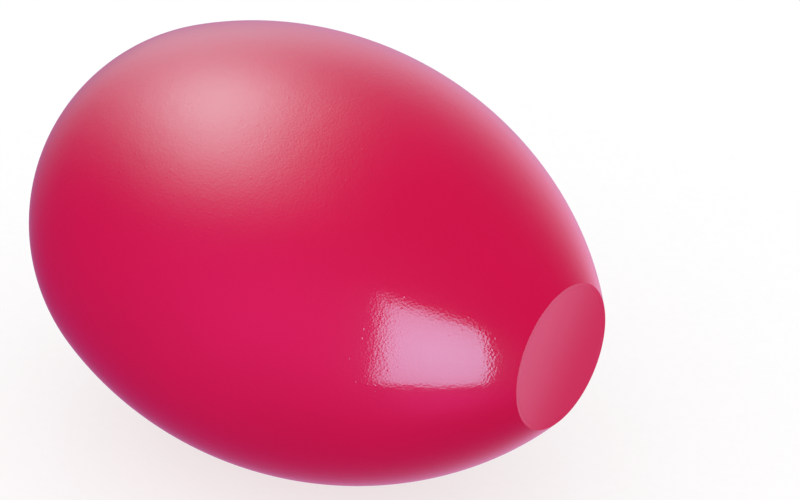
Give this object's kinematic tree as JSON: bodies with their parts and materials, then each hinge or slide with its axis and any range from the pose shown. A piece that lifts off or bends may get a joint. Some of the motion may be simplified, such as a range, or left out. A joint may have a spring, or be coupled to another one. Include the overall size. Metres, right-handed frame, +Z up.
{
  "type": "egg shaker",
  "caption": "Hand-held rattle: a glossy red hollow egg with a flat small end closed by a press-in plug, and loose steel balls that fly between floor and ceiling when it is shaken.",
  "frame": {"origin": "on the surface that the egg lies on, below the middle of its bounding box", "axes": "+X along the egg's own axis, out of the flat small end; +Z up; the egg lies on its side"},
  "size_m": [0.0602, 0.044, 0.044],
  "materials": {
    "shell_plastic": "gloss",
    "plug_plastic": "gloss",
    "ball_steel": "polished"
  },
  "bodies": {
    "egg": {"shell": "shell_plastic", "end_plug": "plug_plastic"},
    "ball_01": {"ball_01": "ball_steel"},
    "ball_02": {"ball_02": "ball_steel"},
    "ball_03": {"ball_03": "ball_steel"},
    "ball_04": {"ball_04": "ball_steel"},
    "ball_05": {"ball_05": "ball_steel"},
    "ball_06": {"ball_06": "ball_steel"},
    "ball_07": {"ball_07": "ball_steel"},
    "ball_08": {"ball_08": "ball_steel"},
    "ball_09": {"ball_09": "ball_steel"},
    "ball_10": {"ball_10": "ball_steel"},
    "ball_11": {"ball_11": "ball_steel"},
    "ball_12": {"ball_12": "ball_steel"},
    "ball_13": {"ball_13": "ball_steel"},
    "ball_14": {"ball_14": "ball_steel"},
    "ball_15": {"ball_15": "ball_steel"},
    "ball_16": {"ball_16": "ball_steel"},
    "ball_17": {"ball_17": "ball_steel"},
    "ball_18": {"ball_18": "ball_steel"},
    "ball_19": {"ball_19": "ball_steel"},
    "ball_20": {"ball_20": "ball_steel"},
    "ball_21": {"ball_21": "ball_steel"},
    "ball_22": {"ball_22": "ball_steel"},
    "ball_23": {"ball_23": "ball_steel"},
    "ball_24": {"ball_24": "ball_steel"},
    "ball_25": {"ball_25": "ball_steel"},
    "ball_26": {"ball_26": "ball_steel"},
    "ball_27": {"ball_27": "ball_steel"},
    "ball_28": {"ball_28": "ball_steel"},
    "ball_29": {"ball_29": "ball_steel"},
    "ball_30": {"ball_30": "ball_steel"},
    "ball_31": {"ball_31": "ball_steel"},
    "ball_32": {"ball_32": "ball_steel"},
    "ball_33": {"ball_33": "ball_steel"},
    "ball_34": {"ball_34": "ball_steel"},
    "ball_35": {"ball_35": "ball_steel"},
    "ball_36": {"ball_36": "ball_steel"},
    "ball_37": {"ball_37": "ball_steel"},
    "ball_38": {"ball_38": "ball_steel"},
    "ball_39": {"ball_39": "ball_steel"},
    "ball_40": {"ball_40": "ball_steel"},
    "ball_41": {"ball_41": "ball_steel"},
    "ball_42": {"ball_42": "ball_steel"},
    "ball_43": {"ball_43": "ball_steel"},
    "ball_44": {"ball_44": "ball_steel"}
  },
  "joints": [
    {"name": "ball_01_hop", "type": "slide", "parent": "egg", "child": "ball_01", "axis": [0, 0, 1], "range_m": [0, 0.02563]},
    {"name": "ball_02_hop", "type": "slide", "parent": "egg", "child": "ball_02", "axis": [0, 0, 1], "range_m": [0, 0.02805]},
    {"name": "ball_03_hop", "type": "slide", "parent": "egg", "child": "ball_03", "axis": [0, 0, 1], "range_m": [0, 0.02922]},
    {"name": "ball_04_hop", "type": "slide", "parent": "egg", "child": "ball_04", "axis": [0, 0, 1], "range_m": [0, 0.02927]},
    {"name": "ball_05_hop", "type": "slide", "parent": "egg", "child": "ball_05", "axis": [0, 0, 1], "range_m": [0, 0.02817]},
    {"name": "ball_06_hop", "type": "slide", "parent": "egg", "child": "ball_06", "axis": [0, 0, 1], "range_m": [0, 0.02867]},
    {"name": "ball_07_hop", "type": "slide", "parent": "egg", "child": "ball_07", "axis": [0, 0, 1], "range_m": [0, 0.03132]},
    {"name": "ball_08_hop", "type": "slide", "parent": "egg", "child": "ball_08", "axis": [0, 0, 1], "range_m": [0, 0.03287]},
    {"name": "ball_09_hop", "type": "slide", "parent": "egg", "child": "ball_09", "axis": [0, 0, 1], "range_m": [0, 0.0334]},
    {"name": "ball_10_hop", "type": "slide", "parent": "egg", "child": "ball_10", "axis": [0, 0, 1], "range_m": [0, 0.03294]},
    {"name": "ball_11_hop", "type": "slide", "parent": "egg", "child": "ball_11", "axis": [0, 0, 1], "range_m": [0, 0.03147]},
    {"name": "ball_12_hop", "type": "slide", "parent": "egg", "child": "ball_12", "axis": [0, 0, 1], "range_m": [0, 0.02956]},
    {"name": "ball_13_hop", "type": "slide", "parent": "egg", "child": "ball_13", "axis": [0, 0, 1], "range_m": [0, 0.03256]},
    {"name": "ball_14_hop", "type": "slide", "parent": "egg", "child": "ball_14", "axis": [0, 0, 1], "range_m": [0, 0.0345]},
    {"name": "ball_15_hop", "type": "slide", "parent": "egg", "child": "ball_15", "axis": [0, 0, 1], "range_m": [0, 0.03546]},
    {"name": "ball_16_hop", "type": "slide", "parent": "egg", "child": "ball_16", "axis": [0, 0, 1], "range_m": [0, 0.03549]},
    {"name": "ball_17_hop", "type": "slide", "parent": "egg", "child": "ball_17", "axis": [0, 0, 1], "range_m": [0, 0.0346]},
    {"name": "ball_18_hop", "type": "slide", "parent": "egg", "child": "ball_18", "axis": [0, 0, 1], "range_m": [0, 0.03274]},
    {"name": "ball_19_hop", "type": "slide", "parent": "egg", "child": "ball_19", "axis": [0, 0, 1], "range_m": [0, 0.02848]},
    {"name": "ball_20_hop", "type": "slide", "parent": "egg", "child": "ball_20", "axis": [0, 0, 1], "range_m": [0, 0.032]},
    {"name": "ball_21_hop", "type": "slide", "parent": "egg", "child": "ball_21", "axis": [0, 0, 1], "range_m": [0, 0.03439]},
    {"name": "ball_22_hop", "type": "slide", "parent": "egg", "child": "ball_22", "axis": [0, 0, 1], "range_m": [0, 0.03581]},
    {"name": "ball_23_hop", "type": "slide", "parent": "egg", "child": "ball_23", "axis": [0, 0, 1], "range_m": [0, 0.03629]},
    {"name": "ball_24_hop", "type": "slide", "parent": "egg", "child": "ball_24", "axis": [0, 0, 1], "range_m": [0, 0.03587]},
    {"name": "ball_25_hop", "type": "slide", "parent": "egg", "child": "ball_25", "axis": [0, 0, 1], "range_m": [0, 0.03453]},
    {"name": "ball_26_hop", "type": "slide", "parent": "egg", "child": "ball_26", "axis": [0, 0, 1], "range_m": [0, 0.03221]},
    {"name": "ball_27_hop", "type": "slide", "parent": "egg", "child": "ball_27", "axis": [0, 0, 1], "range_m": [0, 0.02956]},
    {"name": "ball_28_hop", "type": "slide", "parent": "egg", "child": "ball_28", "axis": [0, 0, 1], "range_m": [0, 0.03256]},
    {"name": "ball_29_hop", "type": "slide", "parent": "egg", "child": "ball_29", "axis": [0, 0, 1], "range_m": [0, 0.0345]},
    {"name": "ball_30_hop", "type": "slide", "parent": "egg", "child": "ball_30", "axis": [0, 0, 1], "range_m": [0, 0.03546]},
    {"name": "ball_31_hop", "type": "slide", "parent": "egg", "child": "ball_31", "axis": [0, 0, 1], "range_m": [0, 0.03549]},
    {"name": "ball_32_hop", "type": "slide", "parent": "egg", "child": "ball_32", "axis": [0, 0, 1], "range_m": [0, 0.0346]},
    {"name": "ball_33_hop", "type": "slide", "parent": "egg", "child": "ball_33", "axis": [0, 0, 1], "range_m": [0, 0.03274]},
    {"name": "ball_34_hop", "type": "slide", "parent": "egg", "child": "ball_34", "axis": [0, 0, 1], "range_m": [0, 0.02867]},
    {"name": "ball_35_hop", "type": "slide", "parent": "egg", "child": "ball_35", "axis": [0, 0, 1], "range_m": [0, 0.03132]},
    {"name": "ball_36_hop", "type": "slide", "parent": "egg", "child": "ball_36", "axis": [0, 0, 1], "range_m": [0, 0.03287]},
    {"name": "ball_37_hop", "type": "slide", "parent": "egg", "child": "ball_37", "axis": [0, 0, 1], "range_m": [0, 0.0334]},
    {"name": "ball_38_hop", "type": "slide", "parent": "egg", "child": "ball_38", "axis": [0, 0, 1], "range_m": [0, 0.03294]},
    {"name": "ball_39_hop", "type": "slide", "parent": "egg", "child": "ball_39", "axis": [0, 0, 1], "range_m": [0, 0.03147]},
    {"name": "ball_40_hop", "type": "slide", "parent": "egg", "child": "ball_40", "axis": [0, 0, 1], "range_m": [0, 0.02563]},
    {"name": "ball_41_hop", "type": "slide", "parent": "egg", "child": "ball_41", "axis": [0, 0, 1], "range_m": [0, 0.02805]},
    {"name": "ball_42_hop", "type": "slide", "parent": "egg", "child": "ball_42", "axis": [0, 0, 1], "range_m": [0, 0.02922]},
    {"name": "ball_43_hop", "type": "slide", "parent": "egg", "child": "ball_43", "axis": [0, 0, 1], "range_m": [0, 0.02927]},
    {"name": "ball_44_hop", "type": "slide", "parent": "egg", "child": "ball_44", "axis": [0, 0, 1], "range_m": [0, 0.02817]}
  ]
}
